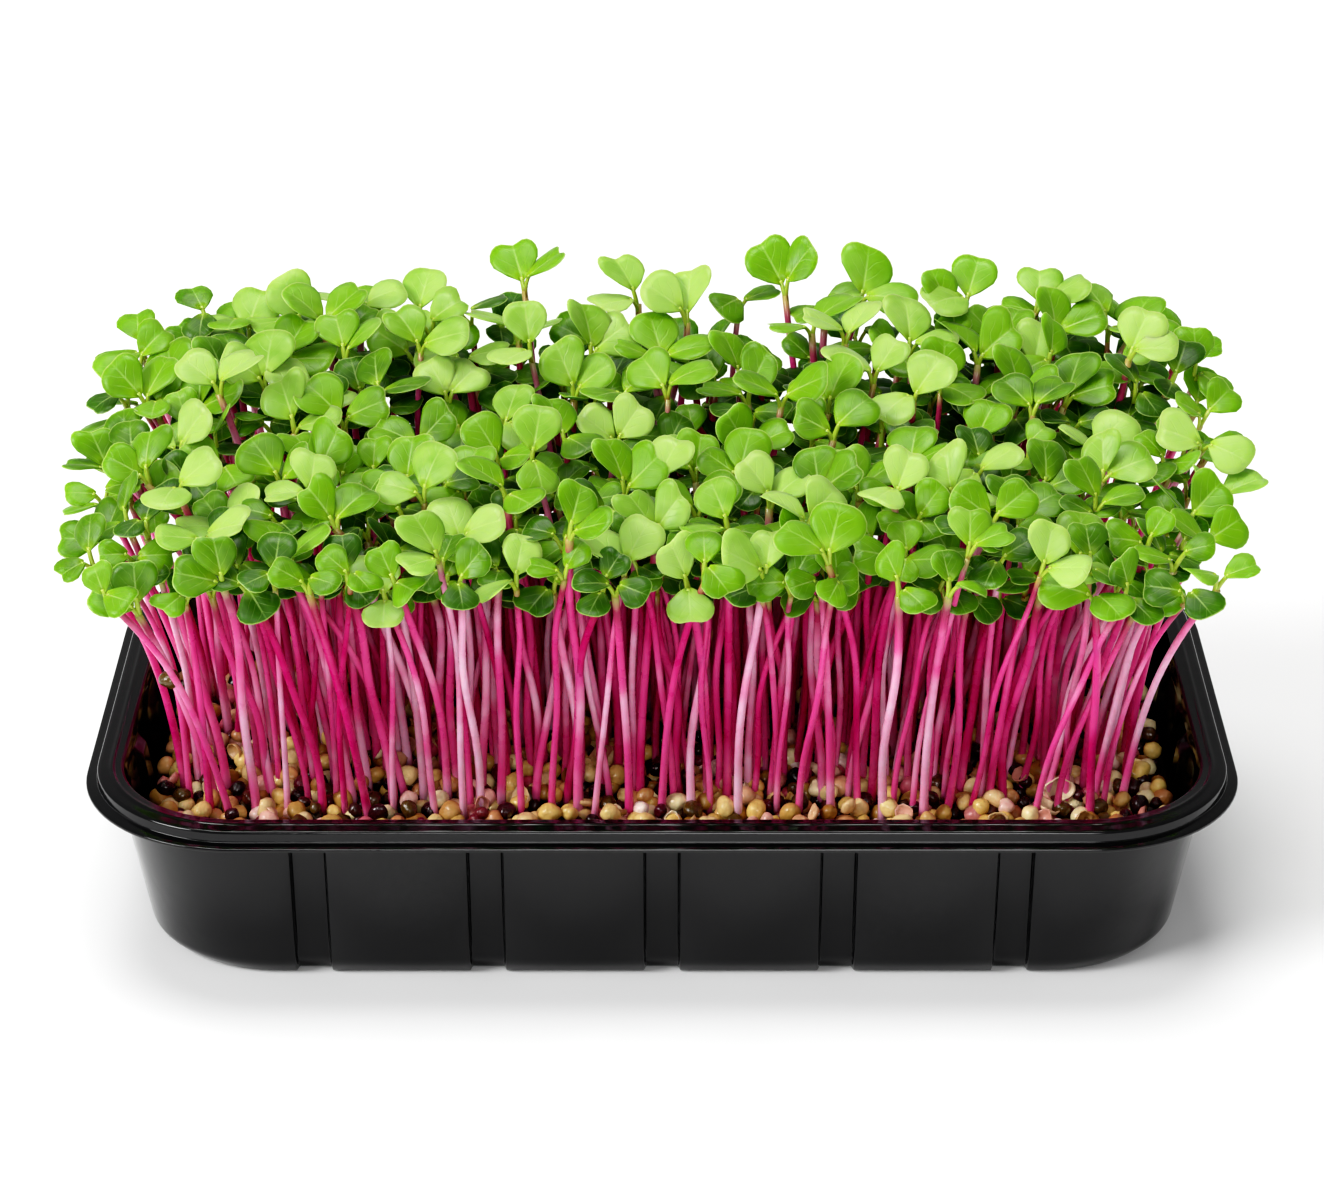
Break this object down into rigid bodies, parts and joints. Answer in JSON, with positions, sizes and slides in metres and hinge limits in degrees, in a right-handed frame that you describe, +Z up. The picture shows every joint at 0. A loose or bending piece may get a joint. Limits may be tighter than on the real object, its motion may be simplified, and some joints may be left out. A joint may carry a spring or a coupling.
{
  "type": "radish microgreens tray",
  "caption": "Shallow black fluted tray packed with damp growing medium, sprouted seeds and a dense stand of pink-stemmed radish seedlings with notched green seed leaves.",
  "frame": {"origin": "middle of the tray's flat base, on the surface that it stands on", "axes": "+X along the tray's length, +Y towards its back, +Z up"},
  "size_m": [0.2499, 0.1312, 0.1187],
  "materials": {
    "tray_plastic": "satin",
    "growing_medium": "matte",
    "seed_husk": "satin",
    "seedling": "satin"
  },
  "bodies": {
    "root": {"tray": "tray_plastic", "soil": "growing_medium", "seed_layer": "seed_husk", "seedlings_01": "seedling", "seedlings_02": "seedling", "seedlings_03": "seedling", "seedlings_04": "seedling", "seedlings_05": "seedling", "seedlings_06": "seedling", "seedlings_07": "seedling", "seedlings_08": "seedling", "seedlings_09": "seedling", "seedlings_10": "seedling", "seedlings_11": "seedling", "seedlings_12": "seedling", "seedlings_13": "seedling", "seedlings_14": "seedling", "seedlings_15": "seedling", "seedlings_16": "seedling", "seedlings_17": "seedling", "seedlings_18": "seedling", "seedlings_19": "seedling", "seedlings_20": "seedling", "seedlings_21": "seedling", "seedlings_22": "seedling", "seedlings_23": "seedling", "seedlings_24": "seedling"}
  },
  "joints": []
}
